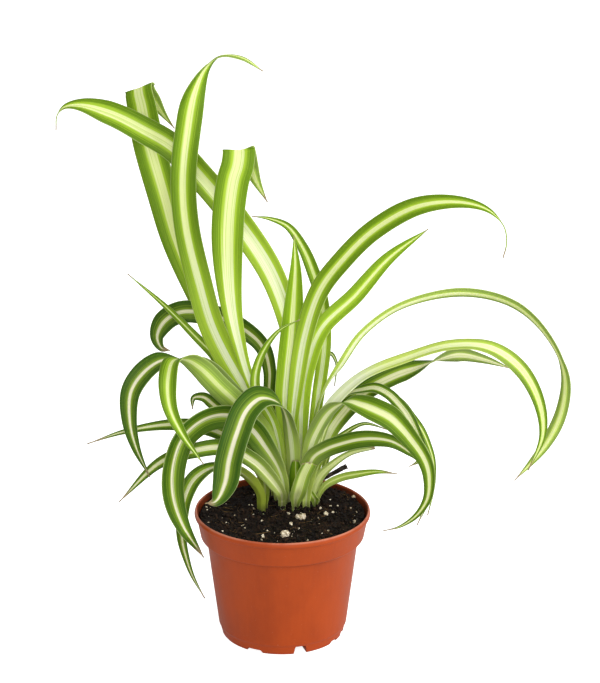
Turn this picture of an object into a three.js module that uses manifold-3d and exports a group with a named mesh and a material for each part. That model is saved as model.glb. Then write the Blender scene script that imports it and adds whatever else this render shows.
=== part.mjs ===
// A variegated spider plant in a round plastic nursery pot, in millimetres, +Z up.
// The pot's axis is x = y = 0 and it stands on z = 0. The front of the plant looks along -Y.
import * as THREE from "three";
import { mergeVertices } from "three/addons/utils/BufferGeometryUtils.js";
import Module from "manifold-3d";

const wasm = await Module();
wasm.setup();

// Driving dimensions of the pot
const RIM_RADIUS = 60;
const POT_HEIGHT = 90;
const FOOT_RADIUS = 42;
const WALL = 1.8;
const LIP_DEPTH = 4;
const BAND_FOOT = 71.5;
const BAND_RADIUS = 55.8;
const BAND_SLOPE = 0.215;
const SHOULDER = 70.8;
const SHOULDER_RADIUS = 51.9;
const FLOOR = 2;
const SHELF = 8;
const SHELF_RADIUS = 29;
const POT_SIDES = 64;

// The gap that parts which only rest on each other keep
const GAP = 0.3;

// Soil and crowns
const SOIL_LEVEL = 84;
const SOIL_HEAP = 5;
const SOIL_BANK = 2.5;
const CROWN_TOP = 84.6;
const CROWN_DEPTH = 20;
const SHEATH = 5;
const CROWN_SIDES = 24;
const SOIL_SIDES = 48;
const SOIL_RINGS = 9;

// Leaf blades
const BLADE_THICKNESS = 0.8;
const TIP_WIDTH = 1;
const SPAN_STEPS = 12;
const STATION_STEP = 6;

// Feet notches in the pot's bottom edge: angle from the front, width and height. The tall ones go on
// inwards as a low slot.
const NOTCHES = [
  { angle: 17, width: 8, height: 7 },
  { angle: -27, width: 11, height: 2.5 },
  { angle: 57, width: 8, height: 2.5 },
  { angle: 76, width: 9, height: 4 },
  { angle: -83, width: 8, height: 4 },
  { angle: -130, width: 11, height: 2.5 },
  { angle: 125, width: 11, height: 2.5 },
  { angle: 180, width: 8, height: 7 },
];
const DRAIN_RADIUS = 2.5;
const DRAIN_REACH = 35;
const DRAIN_SIDES = 12;
const NOTCH_FROM = 33;
const NOTCH_TO = 46;
const TALL_NOTCH = 5;
const SLOT_FROM = 24;
const SLOT_HEIGHT = 1.3;

// Crowns: the short stems that the leaves grow from, as ellipses seen from above
const CROWNS = [
  { name: "crown_main", x: 8.5, y: 27, halfWidth: 20, halfDepth: 18 },
  { name: "crown_left", x: -14, y: 7, halfWidth: 5.5, halfDepth: 6 },
];

// Leaves. root is where the leaf leaves its crown, and line is the middle of its blade from there to
// the tip. turn says which way the upper face looks along the blade, in degrees from the front
// towards the right, at even steps of its length. width is the blade's widest part. The other sizes
// are shares: base is the width at the root, and the blade widens from slim to full of its length.
// From taper on it narrows towards end, slowly at first where tip is large. A negative end leaves a
// thin tail. channel is how deep the blade is folded along its middle.
const LEAVES = {
  leaf_long_left_arch: {
    root: [9, 40], width: 18.5, base: 0.4, full: 0.55, taper: 0.87, tip: 1.5, end: -0.5,
    turn: [0, 0, 0, 0, 70],
    line: [[11, 41, 165], [5, 46, 206], [-8, 54, 242], [-32, 64, 277], [-56, 72, 305], [-75, 77, 324],
      [-95, 81, 335], [-116, 84, 345], [-137, 85, 351], [-148, 84, 350], [-153, 82, 345],
      [-154, 80, 335]],
  },
  leaf_creased_outer: {
    root: [1.5, 37.5], width: 22, base: 0.36, full: 0.75, taper: 0.9, tip: 0.7, channel: 0.12,
    turn: [0, 0, 0, 0, 0, 0, 0, -25, 0],
    line: [[-14, 43, 129], [-32, 52, 160], [-55, 72, 212], [-74, 86, 255], [-83, 95, 285],
      [-93, 103, 322], [-97, 107, 345], [-99, 109, 354], [-99, 112, 357], [-97, 115, 354],
      [-90, 117, 347], [-83, 117, 337], [-75, 115, 327]],
  },
  leaf_tallest: {
    root: [-1, 32], width: 17.5, base: 0.45, full: 0.35, taper: 0.78, tip: 1.3,
    turn: [0, 0, 0, 0, 0, 0, 0, 0, 15, 95, 170],
    line: [[-6, 34, 136], [-26, 37, 164], [-47, 44, 203], [-57, 51, 237], [-65, 58, 274], [-67, 64, 304],
      [-64, 70, 336], [-59, 75, 362], [-51, 79, 379], [-41, 82, 386], [-27, 84, 384], [-13, 84, 375]],
  },
  leaf_creased_inner: {
    root: [3, 29.5], width: 22, base: 0.33, slim: 0.3, full: 0.68, taper: 0.87, tip: 0.7, channel: 0.15,
    line: [[-4, 29, 140], [-21, 30, 169], [-30, 33, 200], [-35, 36, 228], [-37, 41, 262], [-36, 46, 288],
      [-33, 50, 308], [-30, 52, 318], [-29, 54, 325], [-29, 55, 328], [-29, 58, 327], [-26, 60, 323],
      [-22, 62, 315], [-17, 61, 303], [-10, 59, 290]],
  },
  leaf_narrow_back_arch: {
    root: [15, 35.3], width: 9, taper: 0.7,
    line: [[24, 44, 152], [29, 50, 194], [27, 56, 221], [21, 61, 240], [14, 65, 256], [4, 68, 270],
      [-8, 70, 275], [-21, 70, 277]],
  },
  leaf_upright: {
    root: [7.5, 26.3], width: 16, base: 0.42, full: 0.35, taper: 0.55, tip: 2, channel: 0.4,
    line: [[3, 27, 159], [4, 28, 180], [6, 30, 201], [8, 32, 229], [9, 33, 253], [8, 35, 274]],
  },
  leaf_high_right_arch: {
    root: [8, 22.8], width: 13.5, base: 0.5, full: 0.45, taper: 0.7, tip: 1.6, end: -0.5,
    turn: [0, -20, -30, -60],
    line: [[6, 23, 131], [9, 22, 168], [15, 20, 208], [25, 16, 241], [40, 10, 264], [61, 2, 288],
      [89, -8, 307], [116, -16, 312], [134, -21, 308], [144, -24, 298], [146, -25, 287],
      [144, -25, 277]],
  },
  leaf_short_right: {
    root: [13, 28.8], width: 12, base: 0.5, full: 0.35, taper: 0.6, tip: 2.6, turn: [0, -15],
    line: [[13, 31, 157], [17, 33, 182], [27, 36, 208], [49, 41, 229], [72, 47, 254], [99, 53, 273]],
  },
  leaf_long_right_arch: {
    root: [18, 31.8], width: 9, full: 0.3, taper: 0.88, tip: 1.4,
    turn: [0, -65, -130, -132, -133, -120, -88, -140, -150],
    line: [[26, 36, 156], [41, 38, 182], [55, 42, 202], [82, 50, 219], [122, 60, 225], [160, 67, 214],
      [186, 70, 187], [197, 70, 161], [195, 68, 134], [185, 65, 112], [174, 62, 98], [163, 60, 86]],
  },
  leaf_second_right_arch: {
    root: [15, 19.1], width: 11, base: 0.5, full: 0.4, taper: 0.7,
    turn: [0, -10, -50, -76, -80, -75, -35, -30, -30],
    line: [[17, 16, 123], [23, 14, 142], [33, 13, 160], [54, 13, 181], [83, 10, 195], [112, 5, 206],
      [139, 0, 206], [159, -4, 193], [172, -7, 170], [175, -9, 147], [166, -10, 122]],
  },
  leaf_twisted_right: {
    root: [18.5, 27.2], width: 14, base: 0.4, taper: 0.65, turn: [0, -10, -10, -30, -160, -160],
    line: [[31, 32, 131], [43, 37, 148], [57, 40, 161], [76, 42, 171], [94, 44, 177], [108, 46, 182],
      [122, 48, 184], [139, 50, 180], [158, 51, 173]],
  },
  leaf_front_right_droop: {
    root: [15.3, 16.6], width: 16, base: 0.37, full: 0.45, taper: 0.55, tip: 1,
    turn: [-180, -175, -160, -150, -80, -45, -40, -30, -30],
    line: [[18, 8, 128], [24, 2, 148], [32, -4, 163], [43, -10, 172], [53, -17, 172], [62, -22, 170],
      [72, -26, 166], [80, -29, 159], [86, -31, 152], [92, -33, 144], [96, -34, 136], [98, -34, 126],
      [97, -33, 111], [90, -31, 98], [79, -29, 89], [68, -27, 85]],
  },
  leaf_right_droop_behind: {
    root: [17, 21.8], width: 8, base: 0.5, full: 0.35, taper: 0.65, turn: [-180, -140, -60, -40, -40],
    line: [[27, 22, 141], [39, 23, 160], [46, 22, 166], [54, 20, 169], [63, 18, 171], [72, 14, 168],
      [79, 10, 162], [85, 6, 155], [90, 3, 145], [94, 1, 135], [98, 0, 125], [100, -1, 111],
      [99, -2, 97], [92, -3, 79]],
  },
  leaf_broken_right: {
    root: [21.2, 24.4], width: 6.5, turn: [-180, -140, -60, -40, -40],
    line: [[27, 28, 130], [39, 32, 155], [46, 33, 161], [54, 32, 164], [63, 31, 165], [73, 29, 162],
      [82, 26, 156], [88, 23, 149], [95, 20, 140], [100, 18, 129], [103, 17, 119], [104, 16, 106],
      [103, 16, 93], [100, 16, 78]],
  },
  leaf_low_right_arch: {
    root: [16.3, 11.5], width: 12, base: 0.5, full: 0.25, taper: 0.6, turn: [0, -30, -30],
    line: [[20, 2, 125], [29, -2, 134], [40, -6, 140], [52, -11, 145], [64, -15, 147], [74, -18, 146],
      [83, -20, 141], [91, -22, 134], [85, -23, 130]],
  },
  leaf_small_right: {
    root: [24.6, 24.2], width: 4.5, turn: [0, -60, -40],
    line: [[35, 20, 130], [43, 19, 138], [56, 18, 145], [72, 17, 141]],
  },
  leaf_cut_right: {
    root: [20.8, 19.2], width: 8, end: 0.4, taper: 0.3, tip: 1, turn: [-180, -160],
    line: [[25, 16, 106], [33, 13, 116], [46, 11, 126], [63, 9, 131]],
  },
  leaf_lowest_right: {
    root: [24.4, 18.4], width: 5.5, turn: [0, -50, -40],
    line: [[30, 13, 102], [40, 9, 109], [50, 5, 113], [65, 0, 117], [78, -4, 117]],
  },
  leaf_thin_left: {
    root: [-1, 35], width: 7, full: 0.3, turn: [0, 20],
    line: [[-13, 38, 136], [-31, 42, 157], [-46, 48, 182], [-60, 53, 196], [-81, 62, 215],
      [-107, 72, 235]],
  },
  leaf_back_left_arch: {
    root: [12.5, 42.5], width: 15.5, base: 0.5, slim: 0.3, full: 0.75, taper: 0.87, tip: 1.5,
    turn: [0, 0, 10],
    line: [[-1, 48, 125], [-9, 51, 152], [-9, 53, 171], [-13, 55, 186], [-22, 57, 196], [-44, 61, 207],
      [-69, 64, 210], [-82, 66, 202], [-87, 66, 191], [-84, 63, 184], [-78, 60, 183]],
  },
  leaf_outer_left_arch: {
    root: [-2, 26], width: 15, base: 0.45, full: 0.35, taper: 0.65,
    turn: [180, 185, 195, 195, 170, 90, 52, 45, 41],
    line: [[-8, 22, 131], [-24, 20, 153], [-37, 18, 169], [-51, 14, 186], [-66, 7, 196], [-81, -2, 198],
      [-93, -8, 191], [-101, -12, 179], [-102, -15, 160], [-98, -16, 141], [-89, -17, 120]],
  },
  leaf_bent_left: {
    root: [-3, 22], width: 15.5, base: 0.45, full: 0.35, taper: 0.6, tip: 1.5,
    turn: [185, 190, 195, 195, 190, 150, 100, 90, 90],
    line: [[-10, 12, 135], [-27, 8, 159], [-43, 2, 178], [-55, -5, 194], [-64, -13, 203],
      [-72, -22, 205], [-75, -28, 195], [-74, -32, 177], [-67, -34, 160], [-52, -34, 136]],
  },
  leaf_flat_left: {
    root: [-13, 9], width: 10.5, base: 0.65, full: 0.3, taper: 0.55, tip: 1, turn: [0, 50, 40],
    line: [[-12, 10, 96], [-13, 12, 107], [-22, 13, 124], [-41, 11, 140], [-69, 8, 148], [-105, 4, 145],
      [-132, 1, 137]],
  },
  leaf_small_back_left: {
    root: [-6.3, 30], width: 8, base: 0.5, full: 0.6, taper: 0.8, tip: 1.5, turn: [0, 10],
    line: [[-19, 32, 133], [-33, 33, 143], [-46, 34, 152], [-54, 35, 158], [-61, 36, 157],
      [-62, 35, 149]],
  },
  leaf_long_left_droop: {
    root: [0.2, 16.6], width: 18, base: 0.4, full: 0.35, taper: 0.68, turn: [0, 20, 30],
    line: [[1, 9, 102], [-3, 6, 117], [-12, 2, 134], [-22, -2, 149], [-36, -8, 160], [-51, -15, 160],
      [-65, -21, 150], [-72, -25, 133], [-73, -27, 111], [-67, -27, 89], [-53, -26, 65]],
  },
  leaf_low_left: {
    root: [-0.4, 13.2], width: 11, full: 0.2, turn: [0, 50, 40],
    line: [[-1, 6, 99], [-10, 2, 114], [-20, -2, 126], [-38, -6, 137], [-59, -9, 136], [-82, -13, 129],
      [-110, -17, 102]],
  },
  leaf_lowest_left: {
    root: [-14.5, 4.5], width: 12, base: 0.58, full: 0.3, taper: 0.4, tip: 1.3,
    turn: [180, 150, 50, 30, 30],
    line: [[-15, 3, 99], [-20, 1, 109], [-27, -2, 117], [-37, -6, 124], [-50, -10, 123], [-60, -13, 116],
      [-66, -15, 103], [-68, -16, 88], [-68, -17, 74], [-65, -18, 60], [-61, -19, 48], [-53, -20, 32]],
  },
  leaf_front_droop: {
    root: [5, 20.2], width: 18.5, base: 0.38, full: 0.4, taper: 0.84, tip: 2.2, end: -0.1,
    turn: [180, 120, 110, 110],
    line: [[7, 17, 117], [6, 15, 134], [4, 10, 150], [1, 4, 162], [-5, -4, 171], [-15, -14, 176],
      [-24, -25, 171], [-30, -33, 158], [-35, -38, 141], [-38, -42, 125], [-44, -45, 114],
      [-51, -46, 113]],
  },
  leaf_thin_centre_arch: {
    root: [2.4, 24.2], width: 7.5, base: 0.45, turn: [0, 0],
    line: [[-6, 19, 144], [-18, 17, 170], [-16, 17, 190], [-3, 16, 212], [12, 15, 221]],
  },
  leaf_small_back: {
    root: [19.5, 37.5], width: 5, turn: [0, 0],
    line: [[24, 50, 150], [27, 52, 173], [33, 54, 183], [37, 55, 176], [36, 54, 159]],
  },
  leaf_stub_round: {
    root: [8.6, 16], width: 9, base: 0.55, taper: 0.7, end: 0.5, turn: [0, 0],
    line: [[9, 14, 96], [9, 10, 110], [9, 8, 122]],
  },
  leaf_stub_cut: {
    root: [9, 11.5], width: 11, base: 0.56, end: 1, channel: 0.6, turn: [0, 20],
    line: [[11, 4, 102], [14, 1, 114], [18, -2, 124]],
  },
  leaf_bud: {
    root: [22.3, 15.3], width: 6, base: 0.7, taper: 0.4, channel: 0.6, turn: [0, 0],
    line: [[21, 13, 93], [19, 12, 98], [17, 12, 102]],
  },
  dry_leaf: {
    root: [23.8, 21.6], width: 4, end: 1.4, channel: 0.6, turn: [0, -30],
    line: [[24, 20, 100], [30, 20, 105], [37, 20, 109], [44, 20, 113]],
  },
};

const LEAF_DEFAULTS = {
  base: 0.55, slim: 0, full: 0.4, taper: 0.5, tip: 1.7, end: 0, channel: 0.3, turn: [0, 0],
};

function material(color, roughness) {
  return new THREE.MeshStandardMaterial({ color, roughness, metalness: 0 });
}

const LEAF_GREEN = material(0x7fa63a, 0.45);
const CROWN_GREEN = material(0xb9c187, 0.6);
const DRY_BROWN = material(0x3a2a1c, 0.85);
const POT_PLASTIC = material(0xa64522, 0.5);
const SOIL_BROWN = material(0x1f1510, 0.95);

// Joins and cuts

function solidOf(geometry) {
  const bare = geometry.clone();
  bare.deleteAttribute("normal");
  bare.deleteAttribute("uv");
  const merged = mergeVertices(bare, 1e-4);
  return new wasm.Manifold(new wasm.Mesh({
    numProp: 3,
    vertProperties: new Float32Array(merged.attributes.position.array),
    triVerts: new Uint32Array(merged.index.array),
  }));
}

function geometryOf(solid) {
  const mesh = solid.getMesh();
  const geometry = new THREE.BufferGeometry();
  geometry.setAttribute("position", new THREE.BufferAttribute(mesh.vertProperties, 3));
  geometry.setIndex(new THREE.BufferAttribute(mesh.triVerts, 1));
  return geometry;
}

function lathe(profile, sides) {
  const points = profile.map(([radius, height]) => new THREE.Vector2(radius, height));
  return new THREE.LatheGeometry(points, sides).rotateX(Math.PI / 2);
}

// Leaf blades

function mix(values, share) {
  const place = share * (values.length - 1);
  const index = Math.min(Math.floor(place), values.length - 2);
  return THREE.MathUtils.lerp(values[index], values[index + 1], place - index);
}

function leafFrames(leaf) {
  const [x, y] = leaf.root;
  const start = CROWN_TOP + GAP;
  const points = [[x, y, start], [x, y, start + SHEATH], ...leaf.line];
  const curve = new THREE.CatmullRomCurve3(points.map((point) => new THREE.Vector3(...point)));
  const steps = (points.length - 1) * SPAN_STEPS;
  const centres = curve.getPoints(steps);
  const travelled = [0];
  for (let i = 1; i <= steps; i += 1) {
    travelled.push(travelled[i - 1] + centres[i].distanceTo(centres[i - 1]));
  }
  const face = new THREE.Vector3(0, -1, 0);
  return centres.map((centre, i) => {
    const before = centres[Math.max(i - 1, 0)];
    const after = centres[Math.min(i + 1, steps)];
    const along = after.clone().sub(before).normalize();
    face.addScaledVector(along, -face.dot(along)).normalize();
    const share = travelled[i] / travelled[steps];
    const up = face.clone().applyAxisAngle(along, THREE.MathUtils.degToRad(mix(leaf.turn, share)));
    const across = new THREE.Vector3().crossVectors(along, up);
    return { centre, up, across, share };
  });
}

function bladeWidth(leaf, share) {
  const swell = leaf.base + (1 - leaf.base) * THREE.MathUtils.smoothstep(share, leaf.slim, leaf.full);
  const past = Math.max(0, (share - leaf.taper) / (1 - leaf.taper));
  return Math.max(TIP_WIDTH, leaf.width * swell * (1 - (1 - leaf.end) * past ** leaf.tip));
}

// Points round a blade's section run left, middle, right on top and back underneath. Each strip is
// cut along the same line above and below, so a twisted blade keeps its thickness.
const STRIP_FLIPPED = [false, false, false, true, true, false];

function bladeGeometry(leaf) {
  const stations = leafFrames(leaf).filter((_, i) => i % STATION_STEP === 0);
  const points = [];
  for (const { centre, up, across, share } of stations) {
    const half = bladeWidth(leaf, share) / 2;
    for (const [layer, sides] of [[1, [-1, 0, 1]], [-1, [1, 0, -1]]]) {
      for (const side of sides) {
        const lift = (Math.abs(side) - 0.5) * half * leaf.channel + layer * BLADE_THICKNESS / 2;
        points.push(centre.clone().addScaledVector(across, side * half).addScaledVector(up, lift));
      }
    }
  }
  const size = STRIP_FLIPPED.length;
  const index = [];
  for (let ring = 0; ring + 1 < stations.length; ring += 1) {
    STRIP_FLIPPED.forEach((flipped, i) => {
      const a = ring * size + i;
      const b = ring * size + (i + 1) % size;
      const c = b + size;
      const d = a + size;
      index.push(...(flipped ? [a, b, d, b, c, d] : [a, b, c, a, c, d]));
    });
  }
  const end = (stations.length - 1) * size;
  for (const [left, right] of [[0, 1], [1, 2]]) {
    const underLeft = size - 1 - left;
    const underRight = size - 1 - right;
    index.push(left, underLeft, right, right, underLeft, underRight);
    index.push(end + left, end + right, end + underLeft, end + right, end + underRight, end + underLeft);
  }
  const geometry = new THREE.BufferGeometry();
  const numbers = points.flatMap((point) => point.toArray());
  geometry.setAttribute("position", new THREE.Float32BufferAttribute(numbers, 3));
  geometry.setIndex(index);
  return geometry;
}

// Pot

const OUTSIDE = [
  [FOOT_RADIUS - 1, 0], [FOOT_RADIUS, 1.2], [FOOT_RADIUS + 1, SHELF - 2], [FOOT_RADIUS + 2, SHELF],
  [FOOT_RADIUS + 4, 24], [FOOT_RADIUS + 6.8, 46], [SHOULDER_RADIUS, SHOULDER],
  [BAND_RADIUS - 0.6, BAND_FOOT - 0.3], [BAND_RADIUS, BAND_FOOT + 0.5],
  [RIM_RADIUS - 1.6, POT_HEIGHT - LIP_DEPTH - 0.6],
  [RIM_RADIUS - 0.4, POT_HEIGHT - LIP_DEPTH], [RIM_RADIUS, POT_HEIGHT - 2.5],
  [RIM_RADIUS - 0.5, POT_HEIGHT - 0.6], [RIM_RADIUS - 1.3, POT_HEIGHT],
];
const INSIDE = [
  [RIM_RADIUS - 2.2, POT_HEIGHT - 0.4], [RIM_RADIUS - 2.6, POT_HEIGHT - 1.6],
  [BAND_RADIUS - WALL, BAND_FOOT + WALL], [SHOULDER_RADIUS - WALL, SHOULDER + WALL],
  [FOOT_RADIUS + 4 - WALL, 24],
  [FOOT_RADIUS + 2 - WALL, SHELF], [SHELF_RADIUS + 2, SHELF], [SHELF_RADIUS, FLOOR], [0, FLOOR],
];

// A box that cuts the pot's foot from below, out from a radius
function footCut(from, width, height) {
  const cut = new THREE.BoxGeometry(NOTCH_TO - from, width, height * 2);
  return cut.translate((from + NOTCH_TO) / 2, 0, 0);
}

function potGeometry() {
  let pot = solidOf(lathe([[0, 0], ...OUTSIDE, ...INSIDE], POT_SIDES));
  for (const { angle, width, height } of NOTCHES) {
    const turn = THREE.MathUtils.degToRad(angle - 90);
    const cuts = [footCut(NOTCH_FROM, width, height)];
    if (height > TALL_NOTCH) {
      cuts.push(footCut(SLOT_FROM, width, SLOT_HEIGHT));
    }
    const drain = new THREE.CylinderGeometry(DRAIN_RADIUS, DRAIN_RADIUS, SHELF * 3, DRAIN_SIDES);
    cuts.push(drain.rotateX(Math.PI / 2).translate(DRAIN_REACH, 0, 0));
    for (const cut of cuts) {
      pot = pot.subtract(solidOf(cut.rotateZ(turn)));
    }
  }
  return geometryOf(pot);
}

// Crowns and soil

// Turned from an outline of shares of the half width against height, then drawn out to an ellipse.
// The same shape with some room round it is the crown's hole in the soil.
function crownGeometry(crown, room = 0, above = 0) {
  const bottom = CROWN_TOP - CROWN_DEPTH - room;
  const outline = [
    [0, bottom], [0.6, bottom + 1], [0.9, bottom + 6], [1, CROWN_TOP - 4],
    [1, CROWN_TOP + above], [0, CROWN_TOP + above],
  ];
  const geometry = lathe(outline, CROWN_SIDES);
  return geometry.scale(crown.halfWidth + room, crown.halfDepth + room, 1).translate(crown.x, crown.y, 0);
}

// Height of the soil: level at the front and left, heaped up at the back right, banked against the
// wall and a little lumpy all over
function soilHeight(x, y) {
  const { smoothstep } = THREE.MathUtils;
  const radius = Math.hypot(x, y);
  const towardsBack = smoothstep(0.5 * x + 0.85 * y, 20, 55);
  const coarse = 0.7 * Math.sin(x / 3.1 + 1) * Math.cos(y / 2.7);
  const fine = 0.4 * Math.sin(x / 1.9) * Math.sin(y / 2.1 + 2);
  const nearRim = 1 - smoothstep(radius, 44, 56);
  const heap = SOIL_HEAP * towardsBack * (0.6 + 0.4 * nearRim);
  const bank = SOIL_BANK * smoothstep(radius, 46, 56) * (1 - towardsBack);
  return SOIL_LEVEL + heap + bank + (coarse + fine) * (0.4 + 0.6 * nearRim);
}

function soilGeometry() {
  const wall = INSIDE.slice(2).map(([radius, height]) => [Math.max(0, radius - GAP), height + GAP]);
  wall.reverse();
  const [bandEdge, bandFoot] = wall.at(-1);
  const reach = (height) => bandEdge + (height - bandFoot) * BAND_SLOPE;
  const edge = reach(SOIL_LEVEL);
  wall.push([reach(SOIL_LEVEL - 2), SOIL_LEVEL - 2]);
  const rings = Array.from({ length: SOIL_RINGS }, (_, i) => {
    return [edge * (1 - i / (SOIL_RINGS - 1)), SOIL_LEVEL];
  });
  const geometry = lathe([...wall, ...rings], SOIL_SIDES);
  const position = geometry.attributes.position;
  for (let i = 0; i < position.count; i += 1) {
    if (position.getZ(i) === SOIL_LEVEL) {
      position.setZ(i, soilHeight(position.getX(i), position.getY(i)));
    }
  }
  let soil = solidOf(geometry);
  for (const crown of CROWNS) {
    soil = soil.subtract(solidOf(crownGeometry(crown, GAP, SOIL_HEAP * 2)));
  }
  return geometryOf(soil);
}

// Everything in its place

const plant = new THREE.Group();

function add(name, geometry, finish) {
  const mesh = new THREE.Mesh(geometry, finish);
  mesh.name = name;
  plant.add(mesh);
}

for (const [name, leaf] of Object.entries(LEAVES)) {
  add(name, bladeGeometry({ ...LEAF_DEFAULTS, ...leaf }), name === "dry_leaf" ? DRY_BROWN : LEAF_GREEN);
}
for (const crown of CROWNS) {
  add(crown.name, crownGeometry(crown), CROWN_GREEN);
}
add("pot", potGeometry(), POT_PLASTIC);
add("soil", soilGeometry(), SOIL_BROWN);

export default plant;
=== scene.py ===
import math
import random
from dataclasses import dataclass

import bmesh
import bpy
from mathutils import Matrix, Vector, noise


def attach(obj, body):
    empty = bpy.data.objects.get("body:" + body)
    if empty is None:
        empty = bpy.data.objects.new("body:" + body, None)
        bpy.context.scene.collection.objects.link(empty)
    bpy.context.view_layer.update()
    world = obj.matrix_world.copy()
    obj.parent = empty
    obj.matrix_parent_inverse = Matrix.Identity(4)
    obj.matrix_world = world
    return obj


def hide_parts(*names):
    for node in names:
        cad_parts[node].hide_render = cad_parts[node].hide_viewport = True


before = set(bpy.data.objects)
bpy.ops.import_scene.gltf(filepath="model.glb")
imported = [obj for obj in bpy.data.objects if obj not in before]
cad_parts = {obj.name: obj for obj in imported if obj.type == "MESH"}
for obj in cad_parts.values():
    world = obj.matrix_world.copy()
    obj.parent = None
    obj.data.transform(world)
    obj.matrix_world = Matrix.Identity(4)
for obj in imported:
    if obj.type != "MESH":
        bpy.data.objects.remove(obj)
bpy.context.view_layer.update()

bl_info = {
    "name": "Potted spider plant",
    "version": (1, 0, 0),
    "blender": (4, 5, 0),
    "location": "View3D > Sidebar > Plant",
    "description": "Builds a variegated spider plant in a plastic nursery pot around its packed CAD frame",
    "category": "Add Mesh",
}

MM = 0.001
TINY = 1e-6

# Heights and gaps in millimetres, the same as in the part's source
GAP = 0.3
CROWN_TOP = 84.6
SHEATH = 5
SOIL_LEVEL = 84
SOIL_HEAP = 5
SOIL_BANK = 2.5
SOIL_EDGE = 55.95
SOIL_SINK = 0.3

# The pot's outline from the middle of its foot up the outside and down the inside
POT_OUTLINE = [
    (0, 0.6), (30, 0.6), (31, 0), (41, 0), (42, 1.2), (43, 6), (44, 8), (46, 24), (48.8, 46), (51.9, 70.8),
    (55.2, 71.2), (55.8, 72), (58.4, 85.4), (59.6, 86), (60, 87.5), (59.5, 89.4), (58.7, 90),
    (58.3, 89.6), (57.9, 88.2), (54, 73.3), (50.1, 72.6), (44.2, 24), (42.2, 8), (31, 8), (29, 2), (0, 2),
]
POT_INSIDE = POT_OUTLINE[-7:]

# The pot's rings that turn by more than POT_CORNER are rounded. Its edges over SHARP_EDGE look sharp.
POT_CORNER = math.radians(14)
POT_ROUNDING = 0.35
SHARP_EDGE = math.radians(32)

# The soil bed's outline under its surface, a gap away from the inside of the pot
SOIL_WALL = [(55.5, 82)] + [(max(radius - GAP, 0), height + GAP) for radius, height in POT_INSIDE]

# Notches in the foot of the pot: angle from the front, width and height. A tall notch is cut further in
# than the others, but low enough to leave the floor whole.
NOTCHES = [
    (17, 8, 7), (-27, 11, 2.5), (57, 8, 2.5), (76, 9, 4), (-83, 8, 4), (-130, 11, 2.5), (125, 11, 2.5),
    (180, 8, 7),
]
TALL_NOTCH = 5
NOTCH_FROM = 33
NOTCH_TO = 46
SLOT_FROM = 24
SLOT_HEIGHT = 1.3
NOTCH_TOP_SHARE = 0.92
NOTCH_FOOT_SHARE = 1.2

# Round drain holes through the floor, one over each notch
DRAIN_REACH = 35
DRAIN_RADIUS = 2.5
DRAIN_LEVEL = 5
DRAIN_LENGTH = 24

# The crowns: middle and half widths, then their outline as a share of the half width and a depth
CROWNS = {
    "crown_main": (8.5, 27, 20, 18),
    "crown_left": (-14, 7, 5.5, 6),
}
CROWN_OUTLINE = [
    (0, 0), (0.25, 0), (0.5, 0), (0.75, 0.3), (0.92, 1.2), (1, 3), (0.9, 14), (0.6, 19), (0, 20),
]

# How far the crown's top rises round a root, and how far it lies lower elsewhere
ROOT_RISE = 2.2
CROWN_SINK = 1.2

# Blades: points of the curve between two route points, the narrowest width and how deep the root stands
# in its crown. The smooth blades settle towards their feet by a small share of their reach, so that they
# stay inside the faceted ones' box.
SPAN_STEPS = 12
NARROWEST = 0.7
ROOT_DEPTH = 3
SETTLE = 0.0015

# A blade's section, as shares of its half width: how its fold is rounded and how far up the sides rise,
# how far its edges turn down, and the height of its slow and quick waves, whose lengths are millimetres
FOLD_AT_ROOT = 1.2
FOLD_ROUNDING = 0.02
FOLD_LEVEL = 0.5
EDGE_DROOP = 0.05
SLOW_WAVE = 0.05
SLOW_LENGTH = 17
QUICK_WAVE = 0.03
QUICK_LENGTH = 9
CREASE = 0.3
CREASE_LENGTH = 1.7
CRUMPLE_LENGTH = 4

# The looks that a blade's points carry, and the length of blade that is one unit of its stripe pattern
LOOKS = ("age", "stripe", "seed", "low", "lush_and_painted_light", "olive", "foot", "dry")
PATTERN_LENGTH = 100

# The stripe pattern, with widths as shares of the half width of a blade
SWAY = 0.3
SWAY_PACE = 0.7
STREAK_PACE = 0.45
BROAD_STREAKS = 6
FINE_STREAKS = 17
RAGGEDNESS = 0.36
RIPPLES = 55

# The soil's faces from the middle to the wall and round it, and the loose pieces on it, in millimetres
SOIL_RINGS = 56
SOIL_STEPS = 180
CRUMB_REACH = 54.6
HEAPED_CRUMBS = 620
SMALL_PERLITE = 70
PERLITE_REACH = 54
FIBRES = 70
FIBRE_REACH = 50
FIBRE_LIFT = 0.6

# Perlite that shows at the front, by its place on the soil and its size
PERLITE = [
    (1.5, -34, 7), (12.7, -3, 7), (6, -15, 3.4), (-13, -34, 2.2), (-10, -27, 1.8), (-27, -15, 1.8),
    (-25, -8, 1.5), (11, -22, 1.6), (19.5, -10, 1.8), (30, 4, 3), (34.6, 5.6, 2.2), (33, 16, 2.2),
    (26, 12.6, 2), (38, 14, 1.8), (47, 36, 3), (49, 26, 2.6), (49, -12, 2.2), (4.5, 4, 2.4), (51, 4, 1.8),
    (-20, 12, 1.8), (27, -30, 1.5), (-38, -10, 1.4), (31, -26, 1.3),
]

# The stage, in metres. The camera looks down from the level by CAMERA_TILT degrees.
CAMERA_PLACE = (0.012, -1.65, 0.787)
CAMERA_TILT = 19.26
NEAREST_SEEN = 0.05
LIGHT_TARGET = (0, 0, 0.15)
KEY_PLACE = (1.95, -0.9, 1.3)
KEY_SIZE = 1.5
FILL_PLACE = (0.1, -2, 1.05)
FILL_SIZE = 1.2
FLOOR_GLOW = 0.85
WHITE = (1, 1, 1)


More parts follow.
